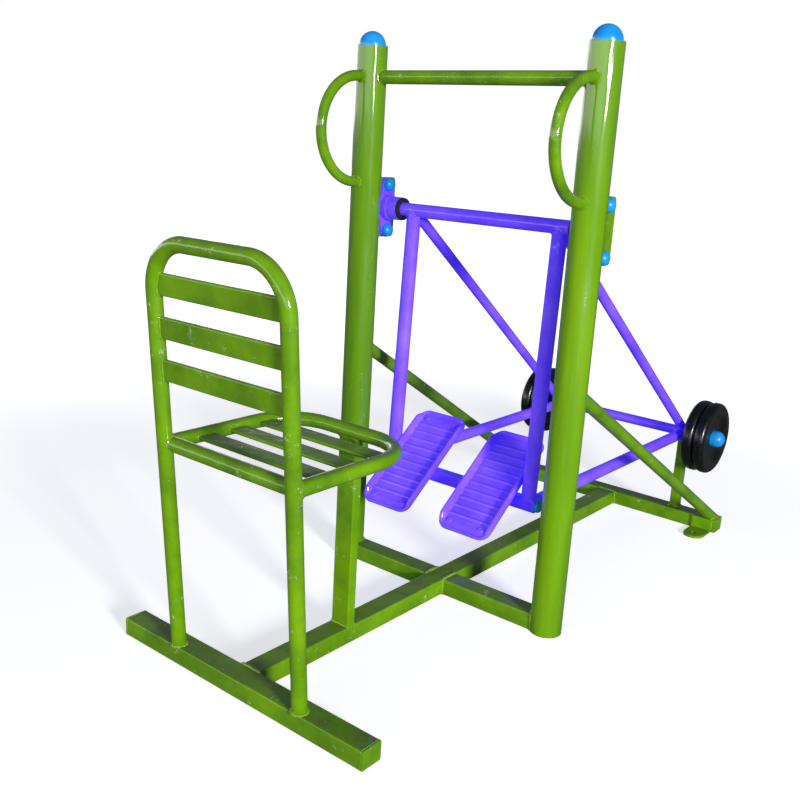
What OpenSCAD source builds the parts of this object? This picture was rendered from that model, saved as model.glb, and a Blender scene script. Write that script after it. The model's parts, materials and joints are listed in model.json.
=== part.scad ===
// Outdoor seated leg press for a street, park or playground.
// A welded green stand carries a slatted seat at the rear and two tall posts in the middle.
// A purple swing frame hangs between the posts on two flange bearings. It carries two
// footplates on its foot beam and two pairs of weight discs on its axle tube.
// Frame: +X is the seated user's right, +Y runs from the seat to the weights, +Z is up.
// The ground is z = 0. All sizes are in millimetres.

/* [Base beams] */
// Width of every box-section ground beam
beam_w = 54; // [40:1:80]
// Height of every box-section ground beam
beam_h = 42; // [30:1:60]
// Wall of the box sections
beam_wall = 3; // [2:0.5:5]
// Outer corner radius of the ground beams
beam_round = 4; // [2:0.5:8]
// Half of the rear crossbar's length
rear_half = 354; // [300:1:450]
// Half of the front crossbar's length
front_half = 366; // [300:1:450]
// Distance from the rear crossbar's rear face to the middle crossbar's rear face
mid_y = 677; // [600:1:760]
// Distance from the rear crossbar's rear face to the front crossbar's rear face
front_y = 1616; // [1500:1:1800]
// Thickness of the plates that close the crossbar ends
end_plate_t = 4; // [2:0.5:8]

/* [Posts] */
// Half of the distance between the two post centres
post_x = 316; // [280:1:360]
// Outer diameter of the posts
post_d = 76; // [60:1:90]
// Wall of the posts
post_wall = 3; // [2:0.5:5]
// Height of the posts without their caps
post_h = 1325; // [1200:5:1500]
// Diameter of the dome on each post cap
cap_dome_d = 65; // [50:1:66]
// Height of each post cap above its post
cap_dome_h = 35; // [20:1:38]
// Height of the flat rim below that dome
cap_rim_h = 2; // [1:0.5:10]
// Depth of the cap's plug inside the post
cap_plug_h = 25; // [15:1:40]
// Distance from the posts' upper ends down to the top bar and the handles' upper ends
top_bar_drop = 71; // [40:1:120]
// Outer diameter of the top bar
top_bar_d = 32; // [25:1:45]

/* [Handles] */
// Bend radius of the D-shaped handles on the tube's centre line
handle_r = 125; // [90:1:150]
// Outer diameter of the handle tube
handle_d = 25; // [20:1:34]
// Wall of the handle tube
handle_wall = 2.5; // [1.5:0.5:4]
// Straight length between a handle bend and the post's centre line
handle_reach = 44; // [40:1:70]

/* [Braces and stops] */
// Outer diameter of the diagonal braces
brace_d = 32; // [25:1:42]
// Height at which a brace's centre line meets the post's centre line
brace_z = 598; // [450:1:700]
// Distance from the front crossbar's end to the centre of a brace's foot
brace_in = 23; // [18:1:60]
// Width of the square stop posts
stop_w = 28; // [22:1:40]
// Outer corner radius of the stop posts and of the seat support
stop_round = 3; // [1.5:0.5:5]
// Thickness of the rubber pads on the stop posts
stop_pad_t = 8; // [4:1:15]

/* [Anchor feet] */
// Distance from the front crossbar's end to an anchor foot's centre
anchor_in = 40; // [30:1:90]
// Width of an anchor foot's strap
anchor_w = 60; // [40:1:70]
// Distance from the front crossbar to the centre of an anchor hole
anchor_reach = 58; // [40:1:90]
// Thickness of the anchor strap
anchor_t = 8; // [5:1:12]
// Diameter of the anchor holes
anchor_hole_d = 14; // [10:1:18]

/* [Seat] */
// Outer diameter of the seat and backrest tubes
seat_tube_d = 32; // [25:1:40]
// Wall of the seat tubes
seat_wall = 2.5; // [1.5:0.5:4]
// Half of the distance between the backrest's leg centres
leg_x = 182; // [150:1:220]
// Distance from the rear crossbar's rear face to the leg centres at its top
leg_y = 13; // [8:1:34]
// Rearward lean of the backrest in degrees
back_lean = 4.2; // [0:0.1:12]
// Length of the backrest legs up to the centre line of the top tube
back_len = 864; // [780:1:950]
// Centre-line bend radius of the backrest's upper corners
back_bend_r = 94; // [60:1:120]
// Width of the flat bars that make the slats of the seat and the backrest
slat_w = 45; // [30:1:60]
// Thickness of those flat bars
slat_t = 9; // [4:0.5:14]
// Length along the legs up to the lowest backrest slat's centre
back_slat_low = 614; // [560:1:680]
// Distance between neighbouring backrest slats' centres
back_slat_pitch = 84.5; // [70:0.5:95]
// Height of the seat ring's centre line
seat_z = 499; // [430:1:540]
// Distance of the rear seat tube's centre line in front of the leg centres
rear_tube_fwd = 9; // [0:1:12]
// Distance from the rear crossbar's rear face to the front seat tube's centre line
seat_front_y = 330; // [300:1:380]
// Centre-line bend radius of the seat ring's front corners
seat_bend_r = 112; // [60:1:130]
// Distance between neighbouring seat slats' centres
seat_slat_pitch = 83; // [65:0.5:90]
// Distance from the rear crossbar's rear face to the first seat slat's centre
seat_slat_first = 72.5; // [60:0.5:80]
// Width of the seat support tube
support_w = 50; // [40:1:54]
// Depth of the seat support tube
support_d = 24; // [18:1:40]
// Distance from the rear crossbar's rear face to the seat support's centre
support_y = 333; // [325:1:338]

/* [Swing frame] */
// Height of the pivot axis
pivot_z = 941; // [850:1:1050]
// Distance from the posts' centres forward to the pivot axis
pivot_fwd = 69; // [60:1:90]
// Outer diameter of the pivot tube
pivot_d = 34; // [30:1:45]
// Wall of the swing frame's tubes
swing_wall = 3; // [2:0.5:4]
// Distance from the middle to the hangers
side_x = 211; // [190:1:225]
// Distance from the middle to the arms and the stop posts
arm_x = 219; // [195:1:230]
// Outer diameter of the hangers
hanger_d = 36; // [28:1:42]
// Outer diameter of the diagonals
diag_d = 27; // [24:1:36]
// Outer diameter of the arms
arm_d = 32; // [28:1:40]
// Outer diameter of the axle tube
axle_d = 30; // [26:1:40]
// Rearward distance from the pivot axis to the foot beam's centre
beam_back = 26; // [0:1:40]
// Height of the foot beam's centre
foot_beam_z = 282; // [240:1:320]
// Height of the foot beam
foot_beam_h = 30; // [26:1:50]
// Depth of the foot beam
foot_beam_t = 30; // [26:1:50]
// Outer corner radius of the foot beam
foot_beam_round = 3; // [2:0.5:8]
// Half of the foot beam's length without its end caps
foot_beam_half = 234; // [225:1:250]
// Height of the dome on each foot beam cap
beam_cap_h = 14; // [8:1:20]
// Height of the arms' and the axle's centre lines
axle_z = 285; // [250:1:320]
// Distance from the arms' centre lines to the axle tube's ends
axle_over = 31; // [22:1:45]
// Distance from the front crossbar's rear face forward to the axle's centre
axle_fwd = 35; // [20:1:40]

/* [Bearings] */
// Diameter of the bearing housing's hub
hub_d = 62; // [58:1:80]
// Length of the bearing housing's hub
hub_len = 50; // [36:1:60]
// Diameter of the hub's narrower inner end
nose_d = 58; // [56:1:60]
// Length of the hub's narrower inner end
nose_len = 32; // [10:1:34]
// Thickness of the housing's flange
flange_t = 9; // [6:1:14]
// Radius of the flange's two ends
flange_end_r = 18; // [14:1:24]
// Distance from the pivot axis to each mounting bolt
bolt_dz = 57.5; // [50:0.5:70]
// Thickness of the bracket plate welded to each post
bracket_t = 10; // [6:1:14]
// Distance from the middle to the bracket plate's inner face
bracket_x = 311; // [300:1:320]
// Radius of the bracket plate's front corners
bracket_corner_r = 10; // [5:1:20]
// Distance from the pivot axis to the bracket plate's front edge
bracket_front = 40; // [34:1:50]
// Diameter of the stub shafts
shaft_d = 25; // [20:1:30]
// Outer diameter of the bearings
bearing_d = 52; // [44:1:56]
// Length of each bearing
bearing_len = 30; // [15:1:34]
// Outer diameter of the rubber shaft seals
seal_d = 56; // [44:1:60]
// Thickness of the rubber shaft seals
seal_t = 6; // [3:0.5:10]
// Diameter of the mounting bolts
bolt_d = 12; // [10:1:16]
// Outer diameter of the bolt covers
cover_d = 34; // [26:1:38]

/* [Footplates] */
// Gap between a hanger and the footplate beside it
plate_gap = 0.5; // [0.3:0.1:20]
// Width of a footplate
plate_w = 145; // [120:1:160]
// Length of a footplate
plate_len = 311; // [250:1:340]
// Corner radius of a footplate
plate_corner_r = 26; // [15:1:45]
// Thickness of a footplate's web
plate_t = 5; // [3:0.5:8]
// Height of the raised rims on both long sides
plate_rim_h = 20; // [10:1:26]
// Width of the raised rims
plate_rim_w = 13; // [8:1:20]
// Width of the transverse ribs and of the lip at both ends
rib_w = 5; // [3:0.5:8]
// Height of the transverse ribs above the web
rib_h = 3; // [1:0.5:5]
// Height of the lip above the web
lip_h = 4; // [2:0.5:8]
// Number of transverse ribs on a footplate
plate_ribs = 12; // [6:1:16]
// Tilt of the footplates in degrees
plate_tilt = 38; // [20:0.5:60]
// Distance from the foot beam's centre to the footplate's underside, square to the plate
plate_off = 36.5; // [32:0.5:60]
// Distance of the footplate's centre from the foot beam's centre along the slope
plate_slide = 1; // [-40:1:40]
// Thickness of the carrier plate and its two gussets under each footplate
carrier_t = 5; // [4:0.5:6]
// Width of the carrier plate
carrier_w = 112; // [104:1:118]
// Length of the carrier plate
carrier_len = 284; // [276:1:300]
// Length along which each gusset is welded to the carrier plate
gusset_len = 114; // [80:1:120]
// Distance between the two gussets under a footplate
gusset_gap = 66; // [40:1:80]
// Distance between the footplate screws across the plate
screw_dx = 90; // [60:1:96]
// Distance between the footplate screws along the plate
screw_dy = 262; // [80:1:268]
// Diameter of the footplate screws
screw_d = 8; // [5:0.5:10]

/* [Weights] */
// Diameter of the weight discs
weight_d = 218; // [180:2:260]
// Thickness of a weight disc at its rim
weight_t = 35; // [24:1:45]
// Depth of the dish in the outer face of a weight disc
dish_t = 11; // [4:1:18]
// Diameter of the dish at the disc's face
dish_d = 156; // [110:2:160]
// Radius of the rim's rounded edges
weight_round = 14; // [6:1:16]
// Diameter of the weight studs
stud_d = 20; // [16:1:24]
// Outer diameter of the nut covers
nut_cover_d = 50; // [46:1:64]
// Height of the nut covers
nut_cover_h = 36; // [24:1:44]

/* [Fits] */
// Gap at a welded joint between two tubes
weld_gap = 0.25; // [0.1:0.05:0.5]
// Gap between the moving frame and the fixed frame
move_gap = 0.5; // [0.3:0.1:2]
// Radial clearance of a running or sliding fit
run_gap = 0.04; // [0.01:0.01:0.1]

/* [Hidden] */
$fn = 96;
// Length by which two pieces of one solid run into each other
tiny = 0.5;
// Length by which a cutting body runs past the body that it cuts
cut = 1;
// Size of a cutting body that is larger than what it cuts
far = 400;
// Share of a dome cover's height that is its straight skirt
skirt_share = 0.3;
// Share of the post's wall that a post cap's rim leaves free
cap_rim_share = 0.4;
// Shares of the foot beam's depth and height at which a gusset's lower corners lie
gusset_low_share = 0.6;
gusset_rise_share = 0.19;
// Share of a footplate's corner radius that the ribs keep clear of at each end
rib_end_share = 0.8;
// Small parts of standard size
post_r = post_d/2;
seat_r = seat_tube_d/2;
top_bar_z = post_h - top_bar_drop;
leg_top_dy = back_len*sin(back_lean);
leg_top_dz = back_len*cos(back_lean);
pivot_y = mid_y + beam_w/2 + pivot_fwd;
post_y = mid_y + beam_w/2;
axle_y = front_y + axle_fwd;
foot_beam_y = pivot_y - beam_back;
rear_min_y = leg_y - leg_top_dy - seat_r;
front_max_y = axle_y + weight_d/2;
shift_y = -(rear_min_y + front_max_y)/2;
foot_beam_top = foot_beam_z + foot_beam_h/2;
hanger_bottom = [side_x, foot_beam_y, foot_beam_top];
hanger_top = [side_x, pivot_y, pivot_z];
diag_bottom = [arm_x, axle_y, axle_z];
plate_x = side_x - hanger_d/2 - plate_gap - plate_w/2;
brace_foot_x = front_half - brace_in;
anchor_x = front_half - anchor_in;
flange_x = bracket_x - flange_t;
hub_end_x = flange_x - hub_len;
pivot_half = hub_end_x - seal_t - move_gap;
axle_half = arm_x + axle_over;
weight_x1 = axle_half;
weight_x2 = weight_x1 + weight_t;
weight_end_x = weight_x2 + weight_t - dish_t;
washer_t = 3;
stud_over = 2;
nut_over = 3;
bolt_over = 1;
cover_play = 1;
beam_flange_t = 2;
beam_plug_len = 10;
nut_t = 12;
washer_r = 20;
nut_r = 17.3;
cover_cavity_r = 21.5;
bolt_head_t = 8;
bolt_nut_t = 10;
bolt_hex_r = 11;
bolt_play = 0.3;
plug_len = 40;
bearing_gap = 1;
shaft_over = 3;
cover_h = 19;
cover_cavity_h = 12.5;
screw_head_r = 7.5;
screw_head_t = 3;
screw_nut_r = 7;
screw_nut_t = 6;
stop_top = axle_z - max(arm_d, axle_d)/2 - move_gap - stop_pad_t;

green = [0.30, 0.60, 0.02];
purple = [0.35, 0.22, 1.0];
blue = [0.08, 0.55, 0.92];
black = [0.05, 0.05, 0.05];
steel = [0.62, 0.63, 0.65];

// Round bar from p to q
module bar(p, q, r) {
  d = q - p;
  len = norm(d);
  translate(p)
    rotate([0, acos(d[2]/len), atan2(d[1], d[0])])
      cylinder(r = r, h = len);
}

// Round tube from p to q. The bore runs past both ends by the length of over.
module tube(p, q, r, wall, over = cut) {
  u = (q - p)/norm(q - p);
  difference() {
    bar(p, q, r);
    bar(p - u*over, q + u*over, r - wall);
  }
}

// Bar or tube along X between two x values
module bar_x(x0, x1, y, z, r) {
  translate([x0, y, z])
    rotate([0, 90, 0])
      cylinder(r = r, h = x1 - x0);
}

// Flat shape with rounded corners, centred on the origin
module round_rect(w, l, r) {
  square([w - r*2, l], center = true);
  square([w, l - r*2], center = true);
  for (sx = [-1, 1], sy = [-1, 1])
    translate([sx*(w/2 - r), sy*(l/2 - r)])
      circle(r = r);
}

// Cross-section of a box tube with rounded corners
module box_section(w, h, wall, r) {
  difference() {
    round_rect(w, h, r);
    round_rect(w - wall*2, h - wall*2, max(r - wall, tiny));
  }
}

// Box tube along Y. Its underside is at z and its middle at x.
module box_y(x, y0, y1, z, w, h, wall, r) {
  translate([x, y1, z + h/2])
    rotate([90, 0, 0])
      linear_extrude(y1 - y0)
        box_section(w, h, wall, r);
}

// Box tube along X. Its underside is at z and its middle at y.
module box_x(x0, x1, y, z, w, h, wall, r) {
  translate([x0, y, z + h/2])
    rotate([90, 0, 90])
      linear_extrude(x1 - x0)
        box_section(w, h, wall, r);
}

module mirror_x(side) {
  if (side > 0) children();
  else mirror([1, 0, 0]) children();
}

module place() {
  translate([0, shift_y, 0]) children();
}

module rear_crossbar() {
  color(green) place()
    box_x(-rear_half + end_plate_t, rear_half - end_plate_t, beam_w/2, 0,
      beam_w, beam_h, beam_wall, beam_round);
}

module front_crossbar() {
  color(green) place()
    box_x(-front_half + end_plate_t, front_half - end_plate_t, front_y + beam_w/2, 0,
      beam_w, beam_h, beam_wall, beam_round);
}

module spine() {
  color(green) place()
    box_y(0, beam_w, front_y, 0, beam_w, beam_h, beam_wall, beam_round);
}

module cross_arm(side) {
  color(green) place() mirror_x(side)
    difference() {
      box_x(beam_w/2, post_x, mid_y + beam_w/2, 0, beam_w, beam_h, beam_wall, beam_round);
      translate([post_x, post_y, -tiny])
        cylinder(r = post_r + weld_gap, h = beam_h + tiny*2);
    }
}

module left_cross_arm() {
  cross_arm(-1);
}

module right_cross_arm() {
  cross_arm(1);
}

// The two plates that close a crossbar's ends
module end_pair(half, y0) {
  for (x0 = [-half, half - end_plate_t])
    translate([x0, y0 + beam_w/2, beam_h/2])
      rotate([90, 0, 90])
        linear_extrude(end_plate_t)
          round_rect(beam_w, beam_h, beam_round);
}

module rear_end_plates() {
  color(green) place()
    end_pair(rear_half, 0);
}

module front_end_plates() {
  color(green) place()
    end_pair(front_half, front_y);
}

// Bent strap: it lies flat on the ground behind the front crossbar and turns up its rear face
module anchor_foot(side) {
  color(green) place() mirror_x(side)
    translate([anchor_x, front_y, 0])
      difference() {
        union() {
          translate([0, -anchor_reach, 0])
            cylinder(r = anchor_w/2, h = anchor_t);
          translate([-anchor_w/2, -anchor_reach, 0])
            cube([anchor_w, anchor_reach, anchor_t]);
          translate([-anchor_w/2, -anchor_t, 0])
            cube([anchor_w, anchor_t, beam_h]);
        }
        translate([0, -anchor_reach, -tiny])
          cylinder(r = anchor_hole_d/2, h = anchor_t + tiny*2);
      }
}

module left_anchor_foot() {
  anchor_foot(-1);
}

module right_anchor_foot() {
  anchor_foot(1);
}

module post(side) {
  color(green) place()
    translate([side*post_x, post_y, 0])
      difference() {
        cylinder(r = post_r, h = post_h);
        translate([0, 0, -tiny])
          cylinder(r = post_r - post_wall, h = post_h + tiny*2);
      }
}

module left_post() {
  post(-1);
}

module right_post() {
  post(1);
}

// Domed cap: a low rim on the post's wall, an elliptical dome and a plug in the post
module post_cap() {
  plug_r = post_r - post_wall - run_gap;
  rim_r = post_r - post_wall*cap_rim_share;
  steps = 16;
  rotate_extrude()
    polygon(concat(
      [[0, -cap_plug_h], [plug_r - cut, -cap_plug_h], [plug_r, -cap_plug_h + cut], [plug_r, 0],
       [rim_r, 0], [rim_r, cap_rim_h], [cap_dome_d/2, cap_rim_h]],
      [for (i = [1 : steps - 1])
        [cap_dome_d/2*cos(90*i/steps), cap_rim_h + (cap_dome_h - cap_rim_h)*sin(90*i/steps)]],
      [[0, cap_dome_h]]));
}

module post_caps() {
  color(blue) place() {
    for (side = [-1, 1])
      translate([side*post_x, post_y, post_h])
        post_cap();
  }
}

module top_bar() {
  color(green) place()
    difference() {
      bar_x(-post_x, post_x, post_y, top_bar_z, top_bar_d/2);
      bar_x(-post_x - cut, post_x + cut, post_y, top_bar_z, top_bar_d/2 - seat_wall);
      for (side = [-1, 1])
        translate([side*post_x, post_y, top_bar_z - far/2])
          cylinder(r = post_r + weld_gap, h = far);
    }
}

// Half ring of tube with two straight ends that run forward to the post's centre
module handle_path(r) {
  rotate([0, -90, 180])
    rotate_extrude(angle = 180)
      translate([handle_r, 0])
        circle(r = r);
  for (dz = [-handle_r, handle_r])
    translate([0, 0, dz])
      rotate([-90, 0, 0])
        cylinder(r = r, h = handle_reach);
}

module handle(side) {
  color(green) place()
    difference() {
      translate([side*post_x, post_y - handle_reach, top_bar_z - handle_r])
        difference() {
          handle_path(handle_d/2);
          handle_path(handle_d/2 - handle_wall);
        }
      translate([side*post_x, post_y, 0])
        cylinder(r = post_r + weld_gap, h = post_h);
    }
}

module left_handle() {
  handle(-1);
}

module right_handle() {
  handle(1);
}

module brace(side) {
  top = [side*post_x, post_y, brace_z];
  foot = [side*brace_foot_x, front_y + beam_w/2, beam_h];
  u = (foot - top)/norm(foot - top);
  color(green) place()
    difference() {
      tube(top, foot + u*beam_w*2, brace_d/2, seat_wall);
      translate([side*post_x, post_y, 0])
        cylinder(r = post_r + weld_gap, h = post_h);
      translate([-far*2, front_y - far, beam_h - far])
        cube([far*4, far*2, far]);
    }
}

module left_brace() {
  brace(-1);
}

module right_brace() {
  brace(1);
}

module stop_post(side) {
  color(green) place()
    translate([side*arm_x, axle_y, beam_h])
      linear_extrude(stop_top - beam_h)
        box_section(stop_w, stop_w, seat_wall, stop_round);
}

module left_stop_post() {
  stop_post(-1);
}

module right_stop_post() {
  stop_post(1);
}

module stop_pads() {
  color(black) place()
    for (side = [-1, 1])
      translate([side*arm_x - stop_w/2, axle_y - stop_w/2, stop_top])
        cube([stop_w, stop_w, stop_pad_t]);
}

// The backrest's local frame: origin on the crossbar's top, +Z along the leaning legs
module back_place() {
  place()
    translate([0, leg_y, beam_h])
      rotate([back_lean, 0, 0])
        children();
}

// Quarter bend of round bar from +X to +Y about the origin
module bend(r, bend_r) {
  rotate_extrude(angle = 90)
    translate([bend_r, 0])
      circle(r = r);
}

// Inverted U of round bar. The legs start at the height low in the local frame.
module back_path(r, low) {
  straight = back_len - back_bend_r;
  corner_x = leg_x - back_bend_r;
  for (side = [-1, 1])
    translate([side*leg_x, 0, low])
      cylinder(r = r, h = straight - low);
  translate([corner_x, 0, straight])
    rotate([90, 0, 0])
      bend(r, back_bend_r);
  translate([-corner_x, 0, straight])
    rotate([90, 0, 0])
      rotate([0, 0, 90])
        bend(r, back_bend_r);
  bar_x(-corner_x, corner_x, 0, back_len, r);
}

module back_frame() {
  color(green)
    difference() {
      back_place() back_path(seat_r, -beam_h/2);
      back_place() back_path(seat_r - seat_wall, -beam_h);
      place()
        translate([-far, -far, beam_h - far])
          cube([far*2, far*2, far]);
    }
}

// Flat bar along X with fully rounded edges, centred on the origin: w across, t thick
module flat_bar(len, w, t) {
  translate([-len/2, -(w - t)/2, -t/2])
    cube([len, w - t, t]);
  for (side = [-1, 1])
    bar_x(-len/2, len/2, side*(w - t)/2, 0, t/2);
}

module back_slats() {
  color(green)
    difference() {
      back_place()
        for (i = [0 : 2])
          translate([0, 0, back_slat_low + i*back_slat_pitch])
            rotate([90, 0, 0])
              flat_bar(leg_x*2, slat_w, slat_t);
      back_place() back_path(seat_r + weld_gap, 0);
    }
}

// U of round bar in the seat's plane, open to the rear
module ring_path(r) {
  corner_x = leg_x - seat_bend_r;
  corner_y = seat_front_y - seat_bend_r;
  for (side = [-1, 1])
    translate([side*leg_x, corner_y, seat_z])
      rotate([90, 0, 0])
        cylinder(r = r, h = corner_y + seat_r*2);
  translate([corner_x, corner_y, seat_z])
    bend(r, seat_bend_r);
  translate([-corner_x, corner_y, seat_z])
    rotate([0, 0, 90])
      bend(r, seat_bend_r);
  bar_x(-corner_x, corner_x, seat_front_y, seat_z, r);
}

// The two legs as solid cutters, and everything behind them
module leg_cut() {
  back_place()
    for (side = [-1, 1])
      translate([side*leg_x, 0, 0]) {
        cylinder(r = seat_r + weld_gap, h = back_len - back_bend_r);
        translate([-seat_r*2, -far, 0])
          cube([seat_r*4, far, back_len - back_bend_r]);
      }
}

module seat_ring() {
  color(green)
    difference() {
      place() ring_path(seat_r);
      place() ring_path(seat_r - seat_wall);
      leg_cut();
    }
}

module seat_rear_tube() {
  rear_y = leg_y - (seat_z - beam_h)*tan(back_lean) + rear_tube_fwd;
  color(green)
    difference() {
      place() bar_x(-leg_x, leg_x, rear_y, seat_z, seat_r);
      place() bar_x(-leg_x - cut, leg_x + cut, rear_y, seat_z, seat_r - seat_wall);
      back_place()
        for (side = [-1, 1])
          translate([side*leg_x, 0, 0])
            cylinder(r = seat_r + weld_gap, h = back_len - back_bend_r);
      place() ring_path(seat_r + weld_gap);
    }
}

// Area inside the seat ring's centre line, open to the rear
module ring_area() {
  corner_x = leg_x - seat_bend_r;
  corner_y = seat_front_y - seat_bend_r;
  translate([-leg_x, 0])
    square([leg_x*2, corner_y]);
  translate([-corner_x, 0])
    square([corner_x*2, seat_front_y]);
  for (side = [-1, 1])
    translate([side*corner_x, corner_y])
      circle(r = seat_bend_r);
}

module seat_slats() {
  color(green) place()
    difference() {
      intersection() {
        for (i = [0 : 2])
          translate([0, seat_slat_first + i*seat_slat_pitch, seat_z])
            flat_bar(leg_x*2, slat_w, slat_t);
        translate([0, 0, seat_z - slat_t])
          linear_extrude(slat_t*2)
            ring_area();
      }
      ring_path(seat_r + weld_gap);
    }
}

// Flat box tube from the spine up to the seat ring's front, coped around it
module seat_support() {
  color(green) place()
    difference() {
      translate([0, support_y, beam_h])
        linear_extrude(seat_z - beam_h)
          box_section(support_w, support_d, seat_wall, stop_round);
      ring_path(seat_r + weld_gap);
    }
}

// Bracket plate that stands square to X on the front of a post
module bracket(side) {
  half_h = bolt_dz + flange_end_r;
  front = pivot_y + bracket_front;
  color(green) place() mirror_x(side)
    difference() {
      union() {
        translate([bracket_x, post_y, pivot_z - half_h])
          cube([bracket_t, front - bracket_corner_r - post_y, half_h*2]);
        translate([bracket_x, post_y, pivot_z - half_h + bracket_corner_r])
          cube([bracket_t, front - post_y, (half_h - bracket_corner_r)*2]);
        for (dz = [-1, 1])
          bar_x(bracket_x, bracket_x + bracket_t, front - bracket_corner_r,
            pivot_z + dz*(half_h - bracket_corner_r), bracket_corner_r);
      }
      translate([post_x, post_y, 0])
        cylinder(r = post_r + weld_gap, h = post_h);
      for (dz = [-bolt_dz, bolt_dz])
        bar_x(bracket_x - cut, bracket_x + bracket_t + cut, pivot_y, pivot_z + dz,
          bolt_d/2 + bolt_play);
    }
}

module left_bracket() {
  bracket(-1);
}

module right_bracket() {
  bracket(1);
}

// Outline of the two-bolt flange: a circle with a smaller circle above and below it,
// joined by their common tangents
module flange_outline() {
  hub_r = hub_d/2;
  a = acos((hub_r - flange_end_r)/bolt_dz);
  circle(r = hub_r);
  for (s = [-1, 1])
    translate([s*bolt_dz, 0])
      circle(r = flange_end_r);
  polygon([for (p = [[1, 1], [-1, 1], [-1, -1], [1, -1]]) each
    (p[0]*p[1] > 0
      ? [[p[0]*(bolt_dz + flange_end_r*cos(a)), p[1]*flange_end_r*sin(a)],
         [p[0]*hub_r*cos(a), p[1]*hub_r*sin(a)]]
      : [[p[0]*hub_r*cos(a), p[1]*hub_r*sin(a)],
         [p[0]*(bolt_dz + flange_end_r*cos(a)), p[1]*flange_end_r*sin(a)]])]);
}

// Flange bearing housing: flange against the bracket, hub towards the middle
module housing(side) {
  bore_end = hub_end_x + bearing_gap + bearing_len;
  color(purple) place() mirror_x(side)
    difference() {
      union() {
        translate([flange_x, pivot_y, pivot_z])
          rotate([0, 90, 0])
            linear_extrude(flange_t)
              flange_outline();
        bar_x(hub_end_x + nose_len, bracket_x, pivot_y, pivot_z, hub_d/2);
        bar_x(hub_end_x, bracket_x, pivot_y, pivot_z, nose_d/2);
      }
      bar_x(hub_end_x - cut, bore_end, pivot_y, pivot_z, bearing_d/2 + run_gap/2);
      bar_x(hub_end_x, bore_end + shaft_over*2, pivot_y, pivot_z, shaft_d/2 + shaft_over);
      for (dz = [-bolt_dz, bolt_dz])
        bar_x(flange_x - cut, bracket_x + cut, pivot_y, pivot_z + dz, bolt_d/2 + bolt_play);
    }
}

module left_housing() {
  housing(-1);
}

module right_housing() {
  housing(1);
}

module bearings() {
  x0 = hub_end_x + bearing_gap;
  color(steel) place()
    for (side = [-1, 1])
      mirror_x(side)
        difference() {
          bar_x(x0, x0 + bearing_len, pivot_y, pivot_z, bearing_d/2);
          bar_x(x0 - cut, x0 + bearing_len + cut, pivot_y, pivot_z, shaft_d/2 + run_gap);
        }
}

module shaft_seals() {
  color(black) place()
    for (side = [-1, 1])
      mirror_x(side)
        difference() {
          bar_x(hub_end_x - seal_t, hub_end_x, pivot_y, pivot_z, seal_d/2);
          bar_x(hub_end_x - seal_t - cut, hub_end_x + cut, pivot_y, pivot_z, shaft_d/2 + run_gap*2);
        }
}

// Hexagonal prism along +X with its first corner straight up
module hex_x(x0, len, r) {
  translate([x0, 0, 0])
    rotate([0, 90, 0])
      cylinder(r = r, h = len, $fn = 6);
}

module each_flange_bolt() {
  for (side = [-1, 1])
    mirror_x(side)
      for (dz = [-bolt_dz, bolt_dz])
        translate([0, pivot_y, pivot_z + dz])
          children();
}

module flange_bolts() {
  color(steel) place()
    each_flange_bolt() {
      hex_x(flange_x - bolt_head_t, bolt_head_t, bolt_hex_r);
      bar_x(flange_x - tiny, bracket_x + bracket_t + bolt_nut_t + bolt_over, 0, 0, bolt_d/2);
    }
}

module flange_nuts() {
  color(steel) place()
    each_flange_bolt()
      difference() {
        hex_x(bracket_x + bracket_t, bolt_nut_t, bolt_hex_r);
        bar_x(bracket_x, bracket_x + bracket_t*3, 0, 0, bolt_d/2 + run_gap);
      }
}

// Hollow round dome standing on z = 0: a short straight skirt and an elliptical top.
// Its cavity is wide up to low_h and narrow up to cavity_h.
module dome_cover(r, h, low_r, low_h, cavity_r, cavity_h) {
  skirt = h*skirt_share;
  steps = 12;
  difference() {
    rotate_extrude()
      polygon(concat(
        [[0, 0], [r, 0], [r, skirt]],
        [for (i = [1 : steps - 1])
          [r*cos(90*i/steps), skirt + (h - skirt)*sin(90*i/steps)]],
        [[0, h]]));
    translate([0, 0, -cut])
      cylinder(r = low_r, h = low_h + cut);
    translate([0, 0, -cut])
      cylinder(r = cavity_r, h = cavity_h + cut);
  }
}

module bolt_covers() {
  color(blue) place()
    each_flange_bolt() {
      translate([flange_x, 0, 0])
        rotate([0, -90, 0])
          dome_cover(cover_d/2, cover_h, bolt_hex_r + cover_play, bolt_head_t,
            bolt_hex_r + bolt_play, cover_cavity_h);
      translate([bracket_x + bracket_t, 0, 0])
        rotate([0, 90, 0])
          dome_cover(cover_d/2, cover_h, bolt_hex_r + cover_play, bolt_head_t,
            bolt_hex_r + bolt_play, cover_cavity_h);
    }
}

module pivot_tube() {
  color(purple) place()
    difference() {
      bar_x(-pivot_half, pivot_half, pivot_y, pivot_z, pivot_d/2);
      bar_x(-pivot_half - cut, pivot_half + cut, pivot_y, pivot_z, pivot_d/2 - swing_wall);
    }
}

module stub_shafts() {
  color(steel) place()
    for (side = [-1, 1])
      mirror_x(side) {
        bar_x(pivot_half - plug_len, pivot_half, pivot_y, pivot_z,
          pivot_d/2 - swing_wall - run_gap);
        bar_x(pivot_half - tiny, hub_end_x + bearing_gap + bearing_len + shaft_over,
          pivot_y, pivot_z, shaft_d/2);
      }
}

module pivot_cut() {
  bar_x(-far, far, pivot_y, pivot_z, pivot_d/2 + weld_gap);
}

module axle_cut() {
  bar_x(-far, far, axle_y, axle_z, axle_d/2 + weld_gap);
}

module hanger(side) {
  up = (hanger_top - hanger_bottom)/norm(hanger_top - hanger_bottom);
  color(purple) place() mirror_x(side)
    difference() {
      tube(hanger_top, hanger_bottom - up*foot_beam_h/2, hanger_d/2, swing_wall);
      pivot_cut();
      translate([0, foot_beam_y - far/2, foot_beam_top - far])
        cube([far, far, far]);
    }
}

module left_hanger() {
  hanger(-1);
}

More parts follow.
